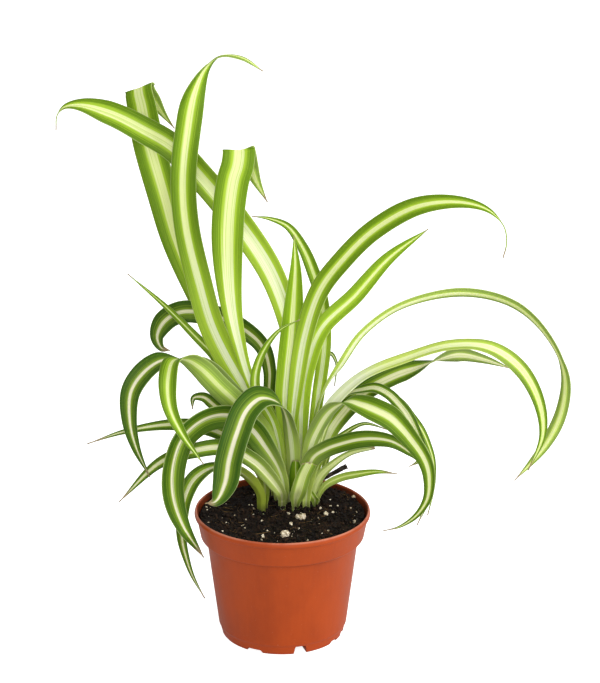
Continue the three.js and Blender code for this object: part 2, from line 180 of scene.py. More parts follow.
@dataclass
class Leaf:
    """A leaf's route in millimetres, as in the part's source, and its form and looks."""

    root: tuple
    line: list
    width: float

    # The width starts as the share base and swells between the shares slim and full of the length. From
    # taper on it narrows to the share end, by the power tip.
    base: float = 0.55
    slim: float = 0
    full: float = 0.4
    taper: float = 0.5
    tip: float = 1.7
    end: float = 0

    # How deep the blade is folded, how wrinkled it is, and how far it is turned about its route, in degrees
    channel: float = 0.3
    crumple: float = 0
    turn: tuple = (0, 0)

    # Age runs from a young bright leaf to an old dark one, stripe is the cream stripe's share of the width,
    # and dry_tip is the length of the withered tip
    age: float = 0
    stripe: float = 0
    dry_tip: float = 0

    # How much the foot pales and over what length, the length from the root over which the blade is lime
    # with a wider, paler stripe, and how far the foot has aged to an olive stalk. The pale, lime foot is
    # partly the leaf's own colour and partly painted light on the lower blades, where the crowded leaves
    # shade them.
    pale: float = 1
    pale_to: float = 70
    lush_and_painted_light: float = 1
    olive: float = 0


LEAVES = {
    "leaf_long_left_arch": Leaf(
        root=(9, 40), width=18.5, base=0.4, full=0.55, taper=0.87, tip=1.5, end=-0.5,
        turn=[0, 0, 0, 0, 70],
        age=0.38, stripe=0.32, dry_tip=6, lush_and_painted_light=290,
        line=[(11, 41, 165), (5, 46, 206), (-8, 54, 242), (-32, 64, 277), (-56, 72, 305),
            (-75, 77, 324), (-95, 81, 335), (-116, 84, 345), (-137, 85, 351), (-148, 84, 350),
            (-153, 82, 345), (-154, 80, 335)]),
    "leaf_creased_outer": Leaf(
        root=(1.5, 37.5), width=22, base=0.36, full=0.75, taper=0.9, tip=0.7, channel=0.12,
        turn=[0, 0, 0, 0, 0, 0, 0, -25, 0],
        age=0.3, stripe=0.29, dry_tip=8, lush_and_painted_light=190,
        line=[(-14, 43, 129), (-32, 52, 160), (-55, 72, 212), (-74, 86, 255), (-83, 95, 285),
            (-93, 103, 322), (-97, 107, 345), (-99, 109, 354), (-99, 112, 357), (-97, 115, 354),
            (-90, 117, 347), (-83, 117, 337), (-75, 115, 327)]),
    "leaf_tallest": Leaf(
        root=(-1, 32), width=17.5, base=0.45, full=0.35, taper=0.78, tip=1.3,
        turn=[0, 0, 0, 0, 0, 0, 0, 0, 15, 95, 170],
        age=0.36, stripe=0.22, dry_tip=5, lush_and_painted_light=220,
        line=[(-6, 34, 136), (-26, 37, 164), (-47, 44, 203), (-57, 51, 237), (-65, 58, 274),
            (-67, 64, 304), (-64, 70, 336), (-59, 75, 362), (-51, 79, 379), (-41, 82, 386), (-27, 84, 384),
            (-13, 84, 375)]),
    "leaf_creased_inner": Leaf(
        root=(3, 29.5), width=22, base=0.33, slim=0.3, full=0.68, taper=0.87, tip=0.7, channel=0.15,
        age=0.25, stripe=0.33, dry_tip=8, lush_and_painted_light=200,
        line=[(-4, 29, 140), (-21, 30, 169), (-30, 33, 200), (-35, 36, 228), (-37, 41, 262),
            (-36, 46, 288), (-33, 50, 308), (-30, 52, 318), (-29, 54, 325), (-29, 55, 328), (-29, 58, 327),
            (-26, 60, 323), (-22, 62, 315), (-17, 61, 303), (-10, 59, 290)]),
    "leaf_narrow_back_arch": Leaf(
        root=(15, 35.3), width=9, taper=0.7,
        age=0.35, stripe=0.2, dry_tip=6, lush_and_painted_light=170,
        line=[(24, 44, 152), (29, 50, 194), (27, 56, 221), (21, 61, 240), (14, 65, 256), (4, 68, 270),
            (-8, 70, 275), (-21, 70, 277)]),
    "leaf_upright": Leaf(
        root=(7.5, 26.3), width=16, base=0.42, full=0.35, taper=0.55, tip=2, channel=0.4,
        age=0.1, stripe=0.22, dry_tip=3, lush_and_painted_light=120,
        line=[(3, 27, 159), (4, 28, 180), (6, 30, 201), (8, 32, 229), (9, 33, 253), (8, 35, 274)]),
    "leaf_high_right_arch": Leaf(
        root=(8, 22.8), width=13.5, base=0.5, full=0.45, taper=0.7, tip=1.6, end=-0.5,
        turn=[0, -20, -30, -60],
        age=0.32, stripe=0.24, dry_tip=9, lush_and_painted_light=180,
        line=[(6, 23, 131), (9, 22, 168), (15, 20, 208), (25, 16, 241), (40, 10, 264), (61, 2, 288),
            (89, -8, 307), (116, -16, 312), (134, -21, 308), (144, -24, 298), (146, -25, 287),
            (144, -25, 277)]),
    "leaf_short_right": Leaf(
        root=(13, 28.8), width=12, base=0.5, full=0.35, taper=0.6, tip=2.6,
        turn=[0, -15],
        age=0.12, stripe=0.2, dry_tip=4, lush_and_painted_light=170,
        line=[(13, 31, 157), (17, 33, 182), (27, 36, 208), (49, 41, 229), (72, 47, 254), (99, 53, 273)]),
    "leaf_long_right_arch": Leaf(
        root=(18, 31.8), width=9, full=0.3, taper=0.88, tip=1.4,
        turn=[0, -65, -130, -132, -133, -120, -88, -140, -150],
        age=0.4, stripe=0.3, dry_tip=10, lush_and_painted_light=230,
        line=[(26, 36, 156), (41, 38, 182), (55, 42, 202), (82, 50, 219), (122, 60, 225),
            (160, 67, 214), (186, 70, 187), (197, 70, 161), (195, 68, 134), (185, 65, 112), (174, 62, 98),
            (163, 60, 86)]),
    "leaf_second_right_arch": Leaf(
        root=(15, 19.1), width=11, base=0.5, taper=0.7,
        turn=[0, -10, -50, -76, -80, -75, -35, -30, -30],
        age=0.5, stripe=0.36, dry_tip=10, pale=1.9, pale_to=270, lush_and_painted_light=260,
        line=[(17, 16, 123), (23, 14, 142), (33, 13, 160), (54, 13, 181), (83, 10, 195), (112, 5, 206),
            (139, 0, 206), (159, -4, 193), (172, -7, 170), (175, -9, 147), (166, -10, 122)]),
    "leaf_twisted_right": Leaf(
        root=(18.5, 27.2), width=14, base=0.4, taper=0.65,
        turn=[0, -10, -10, -30, -160, -160],
        age=0.8, stripe=0.34, dry_tip=6, lush_and_painted_light=70,
        line=[(31, 32, 131), (43, 37, 148), (57, 40, 161), (76, 42, 171), (94, 44, 177), (108, 46, 182),
            (122, 48, 184), (139, 50, 180), (158, 51, 173)]),
    "leaf_front_right_droop": Leaf(
        root=(15.3, 16.6), width=16, base=0.37, full=0.45, taper=0.55, tip=1,
        turn=[-180, -175, -160, -150, -80, -45, -40, -30, -30],
        age=0.65, stripe=0.26, dry_tip=12, lush_and_painted_light=70,
        line=[(18, 8, 128), (24, 2, 148), (32, -4, 163), (43, -10, 172), (53, -17, 172), (62, -22, 170),
            (72, -26, 166), (80, -29, 159), (86, -31, 152), (92, -33, 144), (96, -34, 136), (98, -34, 126),
            (97, -33, 111), (90, -31, 98), (79, -29, 89), (68, -27, 85)]),
    "leaf_right_droop_behind": Leaf(
        root=(17, 21.8), width=8, base=0.5, full=0.35, taper=0.65,
        turn=[-180, -140, -60, -40, -40],
        age=0.85, stripe=0.4, dry_tip=9, lush_and_painted_light=70,
        line=[(27, 22, 141), (39, 23, 160), (46, 22, 166), (54, 20, 169), (63, 18, 171), (72, 14, 168),
            (79, 10, 162), (85, 6, 155), (90, 3, 145), (94, 1, 135), (98, 0, 125), (100, -1, 111),
            (99, -2, 97), (92, -3, 79)]),
    "leaf_broken_right": Leaf(
        root=(21.2, 24.4), width=6.5, turn=[-180, -140, -60, -40, -40],
        age=0.55, stripe=0.2, dry_tip=6,
        line=[(27, 28, 130), (39, 32, 155), (46, 33, 161), (54, 32, 164), (63, 31, 165), (73, 29, 162),
            (82, 26, 156), (88, 23, 149), (95, 20, 140), (100, 18, 129), (103, 17, 119), (104, 16, 106),
            (103, 16, 93), (100, 16, 78)]),
    "leaf_low_right_arch": Leaf(
        root=(16.3, 11.5), width=12, base=0.5, full=0.25, taper=0.6, turn=[0, -30, -30],
        age=0.8, stripe=0.18, dry_tip=6, lush_and_painted_light=45,
        line=[(20, 2, 125), (29, -2, 134), (40, -6, 140), (52, -11, 145), (64, -15, 147),
            (74, -18, 146), (83, -20, 141), (91, -22, 134), (85, -23, 130)]),
    "leaf_small_right": Leaf(
        root=(24.6, 24.2), width=4.5, turn=[0, -60, -40],
        age=0.65, stripe=0.25, dry_tip=6,
        line=[(35, 20, 130), (43, 19, 138), (56, 18, 145), (72, 17, 141)]),
    "leaf_cut_right": Leaf(
        root=(20.8, 19.2), width=8, end=0.4, taper=0.3, tip=1, turn=[-180, -160],
        age=0.6, stripe=0.42, dry_tip=4,
        line=[(25, 16, 106), (33, 13, 116), (46, 11, 126), (63, 9, 131)]),
    "leaf_lowest_right": Leaf(
        root=(24.4, 18.4), width=5.5, turn=[0, -50, -40],
        age=0.35, stripe=0.16, dry_tip=12,
        line=[(30, 13, 102), (40, 9, 109), (50, 5, 113), (65, 0, 117), (78, -4, 117)]),
    "leaf_thin_left": Leaf(
        root=(-1, 35), width=7, full=0.3, turn=[0, 20],
        age=0.4, stripe=0.12, dry_tip=6, lush_and_painted_light=120,
        line=[(-13, 38, 136), (-31, 42, 157), (-46, 48, 182), (-60, 53, 196), (-81, 62, 215),
            (-107, 72, 235)]),
    "leaf_back_left_arch": Leaf(
        root=(12.5, 42.5), width=15.5, base=0.5, slim=0.3, full=0.75, taper=0.87, tip=1.5,
        turn=[0, 0, 10],
        age=1, stripe=0.2, dry_tip=8,
        line=[(-1, 48, 125), (-9, 51, 152), (-9, 53, 171), (-13, 55, 186), (-22, 57, 196),
            (-44, 61, 207), (-69, 64, 210), (-82, 66, 202), (-87, 66, 191), (-84, 63, 184),
            (-78, 60, 183)]),
    "leaf_outer_left_arch": Leaf(
        root=(-2, 26), width=15, base=0.45, full=0.35, taper=0.65,
        turn=[180, 185, 195, 195, 170, 90, 52, 45, 41],
        age=1, stripe=0.17, dry_tip=8,
        line=[(-8, 22, 131), (-24, 20, 153), (-37, 18, 169), (-51, 14, 186), (-66, 7, 196),
            (-81, -2, 198), (-93, -8, 191), (-101, -12, 179), (-102, -15, 160), (-98, -16, 141),
            (-89, -17, 120)]),
    "leaf_bent_left": Leaf(
        root=(-3, 22), width=15.5, base=0.45, full=0.35, taper=0.6, tip=1.5,
        turn=[185, 190, 195, 195, 190, 150, 100, 90, 90],
        age=0.4, stripe=0.2, dry_tip=6, lush_and_painted_light=90,
        line=[(-10, 12, 135), (-27, 8, 159), (-43, 2, 178), (-55, -5, 194), (-64, -13, 203),
            (-72, -22, 205), (-75, -28, 195), (-74, -32, 177), (-67, -34, 160), (-52, -34, 136)]),
    "leaf_flat_left": Leaf(
        root=(-13, 9), width=10.5, base=0.65, full=0.3, taper=0.55, tip=1,
        turn=[0, 50, 40],
        age=0.85, stripe=0.28, dry_tip=18, pale=0, olive=0.8,
        line=[(-12, 10, 96), (-13, 12, 107), (-22, 13, 124), (-41, 11, 140), (-69, 8, 148),
            (-105, 4, 145), (-132, 1, 137)]),
    "leaf_small_back_left": Leaf(
        root=(-6.3, 30), width=8, base=0.5, full=0.6, taper=0.8, tip=1.5, turn=[0, 10],
        age=0.85, stripe=0.25, dry_tip=4,
        line=[(-19, 32, 133), (-33, 33, 143), (-46, 34, 152), (-54, 35, 158), (-61, 36, 157),
            (-62, 35, 149)]),
    "leaf_long_left_droop": Leaf(
        root=(0.2, 16.6), width=18, base=0.4, full=0.35, taper=0.68, turn=[0, 20, 30],
        age=0.9, stripe=0.17, dry_tip=12, lush_and_painted_light=40,
        line=[(1, 9, 102), (-3, 6, 117), (-12, 2, 134), (-22, -2, 149), (-36, -8, 160), (-51, -15, 160),
            (-65, -21, 150), (-72, -25, 133), (-73, -27, 111), (-67, -27, 89), (-53, -26, 65)]),
    "leaf_low_left": Leaf(
        root=(-0.4, 13.2), width=11, full=0.2, turn=[0, 50, 40],
        age=0.8, stripe=0.32, dry_tip=14,
        line=[(-1, 6, 99), (-10, 2, 114), (-20, -2, 126), (-38, -6, 137), (-59, -9, 136),
            (-82, -13, 129), (-110, -17, 102)]),
    "leaf_lowest_left": Leaf(
        root=(-14.5, 4.5), width=12, base=0.58, full=0.3, taper=0.4, tip=1.3,
        turn=[180, 150, 50, 30, 30],
        age=0.85, stripe=0.22, dry_tip=9, pale=0, olive=1,
        line=[(-15, 3, 99), (-20, 1, 109), (-27, -2, 117), (-37, -6, 124), (-50, -10, 123),
            (-60, -13, 116), (-66, -15, 103), (-68, -16, 88), (-68, -17, 74), (-65, -18, 60),
            (-61, -19, 48), (-53, -20, 32)]),
    "leaf_front_droop": Leaf(
        root=(5, 20.2), width=18.5, base=0.38, taper=0.84, tip=2.2, end=-0.1,
        turn=[180, 120, 110, 110],
        age=1, stripe=0.19, dry_tip=8, lush_and_painted_light=80,
        line=[(7, 17, 117), (6, 15, 134), (4, 10, 150), (1, 4, 162), (-5, -4, 171), (-15, -14, 176),
            (-24, -25, 171), (-30, -33, 158), (-35, -38, 141), (-38, -42, 125), (-44, -45, 114),
            (-51, -46, 113)]),
    "leaf_thin_centre_arch": Leaf(
        root=(2.4, 24.2), width=7.5, base=0.45,
        age=0.35, stripe=0.16, dry_tip=4, lush_and_painted_light=120,
        line=[(-6, 19, 144), (-18, 17, 170), (-16, 17, 190), (-3, 16, 212), (12, 15, 221)]),
    "leaf_small_back": Leaf(
        root=(19.5, 37.5), width=5,
        age=0.8, stripe=0.25, dry_tip=4,
        line=[(24, 50, 150), (27, 52, 173), (33, 54, 183), (37, 55, 176), (36, 54, 159)]),
    "leaf_stub_round": Leaf(
        root=(8.6, 16), width=9, taper=0.7, end=0.5,
        age=0.55, stripe=0.05, pale=0,
        line=[(9, 14, 96), (9, 10, 110), (9, 8, 122)]),
    "leaf_stub_cut": Leaf(
        root=(9, 11.5), width=11, base=0.56, end=1, channel=0.6, turn=[0, 20],
        age=0.4, stripe=0.45, pale=0.5,
        line=[(11, 4, 102), (14, 1, 114), (18, -2, 124)]),
    "leaf_bud": Leaf(
        root=(22.3, 15.3), width=6, base=0.7, taper=0.4, channel=0.6,
        age=0.15, stripe=0.25, pale=0.3,
        line=[(21, 13, 93), (19, 12, 98), (17, 12, 102)]),
    "dry_leaf": Leaf(
        root=(23.8, 21.6), width=4, end=1.4, channel=0.6, turn=[0, -30],
        age=1, crumple=2,
        line=[(24, 20, 100), (30, 20, 105), (37, 20, 109), (44, 20, 113)]),
}


def tint(code):
    """A six-digit sRGB colour code as linear red, green and blue."""
    parts = [int(code[i:i + 2], 16) / 255 for i in (0, 2, 4)]
    return tuple(part / 12.92 if part <= 0.04045 else ((part + 0.055) / 1.055) ** 2.4 for part in parts)


def smooth_step(value, low, high):
    """Rises smoothly from 0 at low to 1 at high."""
    share = min(max((value - low) / (high - low), 0), 1)
    return share * share * (3 - 2 * share)


def colour_prop(name, description, code):
    return bpy.props.FloatVectorProperty(
        name=name, description=description, subtype="COLOR", size=3, min=0, max=1, default=tint(code))


def length_prop(name, description, default, least=0):
    return bpy.props.FloatProperty(
        name=name, description=description, default=default, min=least, subtype="DISTANCE", unit="LENGTH")


def power_prop(name, description, watts):
    return bpy.props.FloatProperty(name=name, description=description, default=watts, min=0, unit="POWER")


class LeafSettings(bpy.types.PropertyGroup):
    thickness: length_prop("Thickness", "How thick the leaf blades are", 0.5 * MM)
    columns: bpy.props.IntProperty(
        name="Columns", description="Faces across a blade, from edge to edge", default=12, min=4, max=40)
    young: colour_prop("Young green", "Green of the newest leaves", "789E08")
    old: colour_prop("Old green", "Green of the oldest leaves", "38560E")
    margin: colour_prop("Margin", "Dark green along the edges of a leaf", "264A06")
    lime: colour_prop("Lime", "Light green beside the cream stripe", "B2CE40")
    cream: colour_prop("Cream", "The stripe down the middle of a young leaf", "D4DE9A")
    chalk: colour_prop("Chalk", "The whiter stripe of an old leaf", "D6D2B6")
    # Fresh and the pale base colour the pale foot of a blade, which is partly painted light on shaded lower
    # blades
    fresh_and_painted_light: colour_prop("Fresh", "Where a leaf leaves its crown", "D8E684")
    pale: colour_prop("Pale base", "The palest bases and the stripes near them", "EEF3D2")
    olive: colour_prop("Olive stalk", "The foot of a leaf that has aged to a stalk", "7C8A2C")
    under: colour_prop("Underside bloom", "Pale bloom of a leaf's underside", "C6D486")
    # A darker colour at the foot of each blade, where it leaves its crown
    dark_foot: colour_prop("Stained foot", "Where the soil stains the foot of a leaf", "35331A")
    dry: colour_prop("Dry tip", "Withered end of a leaf", "8C7A5E")
    withered: colour_prop("Withered leaf", "The dead leaf by the crown", "17100A")
    ridges: colour_prop("Withered ridges", "Browner ridges of the dead leaf", "3A2A1C")


class PotSettings(bpy.types.PropertyGroup):
    steps: bpy.props.IntProperty(
        name="Steps", description="Faces round the pot", default=160, min=32, max=256)
    plastic: colour_prop("Plastic", "Terracotta plastic of the pot", "A4400C")
    deep: colour_prop("Deep plastic", "Darker patches of the plastic", "94380A")
    foot: colour_prop("Foot", "The foot of the pot", "A43E0A")
    # Pale colour of the painted highlight along the lip, and of the real dust specks
    lip_sheen_and_dust: colour_prop("Scuffs", "Pale scuffs on the lip", "D9A48C")
    # Inner wall colour: painted shade under the lip, with the earth that clings there
    inner_shade_and_earth: colour_prop("Soiled", "Earth that clings to the inside of the wall", "3A1D12")


class SoilSettings(bpy.types.PropertyGroup):
    dark: colour_prop("Wet peat", "Darkest part of the soil", "0D0806")
    brown: colour_prop("Dry peat", "Lighter crumbs of the soil", "3E2B1C")
    fibre: colour_prop("Fibre", "Root and bark fibres", "6E5530")
    bark: colour_prop("Dark bark", "Darkest part of the bark fibres", "1E140D")
    perlite: colour_prop("Perlite", "Pale grains in the soil", "EFE4CB")
    shaded: colour_prop("Dull perlite", "Duller patches of the pale grains", "8A7654")
    crumbs: bpy.props.IntProperty(
        name="Crumbs", description="How many loose crumbs lie on the soil", default=2600, min=0, max=6000)
    seed: bpy.props.IntProperty(name="Seed", description="Another seed lays the crumbs out anew", default=4)


class StageSettings(bpy.types.PropertyGroup):
    floor: length_prop("Floor", "Half the width of the floor", 6, 1)
    paper: colour_prop("Floor colour", "Darker mottles of the floor", "DADADA")
    bright: colour_prop("Bright floor", "Lighter mottles of the floor", "E6E6E6")
    lens: bpy.props.FloatProperty(
        name="Lens", description="Focal length of the camera", default=138.3, min=20,
        subtype="DISTANCE_CAMERA")
    key: power_prop("Key light", "Strength of the large light at the front right", 44)
    fill: power_prop("Fill light", "Strength of the light behind and above the camera", 20)
    sky: bpy.props.FloatProperty(
        name="Sky", description="How much light the white surroundings give", default=0.68, min=0)


class Graph:
    """A node tree with short calls for the nodes that the finishes are made of."""

    def __init__(self, tree):
        self.tree = tree

    def node(self, kind, inputs=(), **settings):
        node = self.tree.nodes.new("ShaderNode" + kind)
        for key, value in settings.items():
            setattr(node, key, value)
        for key, value in dict(inputs).items():
            self.put(node.inputs[key], value)
        return node

    def put(self, socket, value):
        if isinstance(value, bpy.types.NodeSocket):
            self.tree.links.new(value, socket)
        elif socket.type == "RGBA":
            socket.default_value = (*value, 1)
        else:
            socket.default_value = value

    def math(self, operation, first, second=0.0):
        return self.node("Math", {0: first, 1: second}, operation=operation).outputs[0]

    def add(self, first, second):
        return self.math("ADD", first, second)

    def times(self, first, second):
        return self.math("MULTIPLY", first, second)

    def step(self, value, low, high, first=0.0, last=1.0):
        """Runs smoothly from first to last while value runs from low to high."""
        sockets = {0: value, 1: low, 2: high, 3: first, 4: last}
        return self.node("MapRange", sockets, interpolation_type="SMOOTHSTEP").outputs[0]

    def coats(self, colour, *coats):
        """The colour under coats of other colours, each with its share."""
        for share, coat in coats:
            node = self.node("Mix", {0: share}, data_type="RGBA")
            self.put(node.inputs[6], colour)
            self.put(node.inputs[7], coat)
            colour = node.outputs[2]
        return colour

    def combine(self, x, y, z=0.0):
        return self.node("CombineXYZ", {0: x, 1: y, 2: z}).outputs[0]

    def noise(self, place, detail=2.0, rough=0.5):
        sockets = {"Vector": place, "Scale": 1, "Detail": detail, "Roughness": rough}
        return self.node("TexNoise", sockets).outputs["Fac"]

    def mottles(self, x, y, z, detail=2.0, rough=0.5):
        """The shared mottles at those scales per metre along each axis."""
        sockets = {"Scale X": x, "Scale Y": y, "Scale Z": z, "Detail": detail, "Roughness": rough}
        return self.group("mottles", object_mottles, sockets)["Mottles"]

    def attribute(self, name):
        return self.node("Attribute", attribute_name=name, attribute_type="GEOMETRY").outputs["Fac"]

    def coordinates(self, kind):
        """The x, y and z of the object coordinates or of the UV map."""
        place = self.node("TexCoord").outputs[kind]
        return self.node("SeparateXYZ", {0: place}).outputs

    def group(self, name, maker, inputs):
        """The outputs of a shared group, which is made once."""
        node = self.tree.nodes.new("ShaderNodeGroup")
        node.node_tree = bpy.data.node_groups.get(name) or maker(name)
        for key, value in inputs.items():
            self.put(node.inputs[key], value)
        return node.outputs


class Finish(Graph):
    """A new material and the inputs of its shader."""

    def __init__(self, name, roughness, specular=0.5):
        self.material = bpy.data.materials.new(name)
        self.material.use_nodes = True
        super().__init__(self.material.node_tree)
        self.shader = self.tree.nodes["Principled BSDF"].inputs
        self.shader["Roughness"].default_value = roughness
        self.shader["Specular IOR Level"].default_value = specular

    def done(self, colour, height, strength, distance):
        """The material, once its shader has that colour and a relief of that height."""
        relief = self.node("Bump", {"Height": height, "Strength": strength, "Distance": distance})
        self.put(self.shader["Base Color"], colour)
        self.put(self.shader["Normal"], relief.outputs["Normal"])
        return self.material


def new_group(name, inputs, outputs):
    """An empty shader group with those number inputs and outputs, as its graph, inputs and output node."""
    tree = bpy.data.node_groups.new(name, "ShaderNodeTree")
    for label in inputs:
        tree.interface.new_socket(label, in_out="INPUT", socket_type="NodeSocketFloat")
    for label in outputs:
        tree.interface.new_socket(label, in_out="OUTPUT", socket_type="NodeSocketFloat")
    return Graph(tree), tree.nodes.new("NodeGroupInput").outputs, tree.nodes.new("NodeGroupOutput")


def object_mottles(name):
    """Mottles fixed to the object, with a scale along each axis, for all but the green leaves."""
    scales = ["Scale X", "Scale Y", "Scale Z"]
    graph, given, out = new_group(name, [*scales, "Detail", "Roughness"], ["Mottles"])
    sockets = {
        "Vector": graph.node("TexCoord").outputs["Object"],
        "Scale": graph.combine(*(given[label] for label in scales))}
    place = graph.node("Mapping", sockets).outputs["Vector"]
    graph.put(out.inputs["Mottles"], graph.noise(place, given["Detail"], given["Roughness"]))
    return graph.tree


def leaf_streaks(name):
    """Masks of the stripes that run along a leaf, from its place across and along the blade."""
    outputs = ["Cream", "Lime", "Margin", "Edge", "Tone", "Vein"]
    graph, given, out = new_group(name, ["Across", "Along", "Seed", "Stripe"], outputs)
    across, along, seed, stripe = (given[label] for label in ("Across", "Along", "Seed", "Stripe"))

    # The pattern sways from side to side and is drawn out along the blade
    drift = graph.noise(graph.combine(seed, graph.times(along, SWAY_PACE)), detail=0)
    place = graph.add(across, graph.times(graph.add(drift, -0.5), SWAY))
    length = graph.times(along, STREAK_PACE)
    broad = graph.noise(graph.combine(graph.times(place, BROAD_STREAKS), length, seed))
    fine = graph.noise(graph.combine(graph.times(place, FINE_STREAKS), length, graph.add(seed, 5)))
    ripples = graph.math("SINE", graph.times(place, RIPPLES))

    # Distance from the middle, with a ragged edge wherever a mask ends
    ragged = graph.times(graph.add(broad, -0.5), RAGGEDNESS)
    away = graph.add(graph.math("ABSOLUTE", place), ragged)
    inside = graph.step(away, graph.add(stripe, -0.05), graph.add(stripe, 0.03), first=1, last=0)
    thin_lines = graph.step(fine, low=0.56, high=0.62, first=1, last=0.35)
    band = graph.step(away, graph.add(stripe, 0.05), graph.add(stripe, 0.24), first=1, last=0)
    few = graph.step(fine, low=0.56, high=0.61)
    stray = graph.times(few, graph.step(away, low=0.5, high=0.85, first=0.8, last=0.1))
    masks = {
        "Cream": graph.times(inside, thin_lines),
        "Lime": graph.math("MAXIMUM", band, stray),
        "Margin": graph.step(away, low=0.42, high=0.8),
        "Edge": graph.step(graph.math("ABSOLUTE", across), low=0.95, high=0.99),
        "Tone": broad,
        "Vein": graph.add(graph.times(ripples, 0.25), fine),
    }
    for label, mask in masks.items():
        graph.put(out.inputs[label], mask)
    return graph.tree


def leaf_material(settings, underside):
    """A leaf's upper face, or its paler, duller underside."""
    name = "leaf underside" if underside else "leaf upper face"
    graph = Finish(name, 0.55 if underside else 0.45, specular=0.12)
    age, stripe, seed, low, lush_and_painted_light, olive, foot, dry = (graph.attribute(look) for look in LOOKS)
    u, v, _ = graph.coordinates("UV")
    streaks = graph.group("leaf streaks", leaf_streaks, {
        "Across": graph.add(graph.times(u, 2), -1), "Along": v, "Seed": seed,
        "Stripe": graph.times(stripe, graph.step(lush_and_painted_light, 0, 1, first=1, last=1.4))})

    # The green darkens with age, along its veins and towards its edges, and is limier near the root, partly
    # as painted light on the shaded lower blades
    darkness = graph.add(graph.times(age, 0.65), 0.12)
    green = graph.coats(
        settings.young,
        (age, settings.old),
        (graph.step(streaks["Tone"], low=0.4, high=0.75, last=0.3), settings.lime),
        (graph.step(streaks["Vein"], low=0.45, high=0.75, last=0.25), settings.margin),
        (graph.times(streaks["Margin"], darkness), settings.margin),
        (graph.times(lush_and_painted_light, 0.5), settings.lime))

    # The stripe lies in a lime band, the rim of the blade is pale and its foot paler, partly as painted
    # light on the shaded crowded base, and the underside has a bloom. Stalks, the darker feet and dry tips
    # come last.
    limy = graph.times(streaks["Lime"], graph.step(age, 0, 1, first=0.7, last=0.24))
    # The wider, paler stripe near the root is partly painted light as well
    creamy = graph.times(streaks["Cream"], graph.step(lush_and_painted_light, 0, 1, first=1, last=0.8))
    old_stripe = (graph.step(age, low=0.45, high=1), settings.chalk)
    bloom = 0.22 if underside else 0
    colour = graph.coats(
        green,
        (limy, settings.lime),
        (creamy, graph.coats(settings.cream, old_stripe, (lush_and_painted_light, settings.pale))),
        (graph.times(streaks["Edge"], 0.35), settings.cream),
        (graph.times(low, 0.5), graph.coats(settings.fresh_and_painted_light, (graph.step(low, 1, 1.3), settings.pale))),
        (bloom, settings.under),
        (olive, settings.olive),
        # Darker at the foot of each blade
        (graph.times(foot, 0.75), settings.dark_foot),
        (dry, settings.dry))
    graph.put(graph.shader["Subsurface Weight"], 0.3)
    graph.put(graph.shader["Subsurface Radius"], (1, 1, 0.4))
    graph.put(graph.shader["Subsurface Scale"], 0.002)
    return graph.done(colour, streaks["Vein"], strength=0.35, distance=0.00025)


def withered_material(settings):
    """Dead leaf: almost black, wrinkled and dull."""
    graph = Finish("withered leaf", 0.8)
    grain = graph.mottles(400, 400, 250, detail=4, rough=0.6)
    colour = graph.coats(settings.withered, (graph.step(grain, 0.4, 0.75), settings.ridges))
    return graph.done(colour, grain, strength=0.6, distance=0.0004)


def crown_material(settings, soil):
    """Pale bases of old leaves, dark with soil where they are buried."""
    graph = Finish("crown", 0.6)
    grain = graph.mottles(700, 700, 90, detail=3, rough=0.6)
    flesh = graph.coats(settings.pale, (graph.step(grain, 0.35, 0.7), settings.lime))
    lumps = graph.mottles(1300, 1300, 1300, detail=3, rough=0.6)
    dirt = graph.coats(soil.dark, (graph.step(lumps, 0.4, 0.7), soil.brown))
    colour = graph.coats(flesh, (graph.attribute("buried"), dirt))
    return graph.done(colour, lumps, strength=0.5, distance=0.0004)


def plastic_material(settings):
    """Satin terracotta plastic: faint mottling and drawn streaks, pale dust specks, a painted highlight
    along the lip, and earth with painted shade on the inner wall.
    """
    graph = Finish("terracotta plastic", 0.42, specular=0.22)
    mottle = graph.mottles(38, 38, 22, detail=4, rough=0.6)
    streak = graph.mottles(420, 420, 14)
    specks = graph.mottles(900, 900, 900)
    height = graph.coordinates("Object")[2]
    both = graph.add(graph.times(mottle, 0.8), graph.times(streak, 0.2))
    lip = graph.step(height, low=0.0885, high=0.0898)
    shade_and_earth_patches = graph.step(mottle, low=0.3, high=0.6, first=0.95, last=0.6)
    colour = graph.coats(
        settings.deep,
        (graph.step(both, low=0.3, high=0.7, last=0.85), settings.plastic),
        (graph.step(height, low=0.002, high=0.014, first=0.6, last=0), settings.foot),
        # A painted highlight along the top of the lip, mottled; the specks after it are pale dust
        (graph.times(lip, graph.step(mottle, low=0.35, high=0.6, first=0.05, last=0.35)), settings.lip_sheen_and_dust),
        (graph.step(specks, low=0.7, high=0.78, last=0.15), settings.lip_sheen_and_dust),
        # The inner wall under the lip: painted shade, and earth that clings there
        (graph.times(graph.attribute("inside"), shade_and_earth_patches), settings.inner_shade_and_earth))
    graph.put(graph.shader["Roughness"], graph.step(mottle, low=0.3, high=0.7, first=0.36, last=0.5))
    return graph.done(colour, graph.add(streak, specks), strength=0.12, distance=0.0002)


def soil_material(settings):
    """Moist peat: near black, with brown crumbs and thin fibres of bark."""
    graph = Finish("potting soil", 0.85, specular=0.15)
    lumps = graph.mottles(500, 500, 500, detail=6, rough=0.7)
    threads = graph.mottles(180, 1500, 700, detail=3, rough=0.6)
    patches = graph.step(graph.mottles(95, 95, 95), low=0.4, high=0.65, first=0.25)
    colour = graph.coats(
        settings.dark,
        (graph.times(graph.step(lumps, low=0.44, high=0.66), patches), settings.brown),
        (graph.step(threads, low=0.64, high=0.74, last=0.5), settings.fibre))
    graph.put(graph.shader["Roughness"], graph.step(lumps, low=0.3, high=0.7, first=0.6, last=0.95))
    return graph.done(colour, lumps, strength=0.9, distance=0.0008)


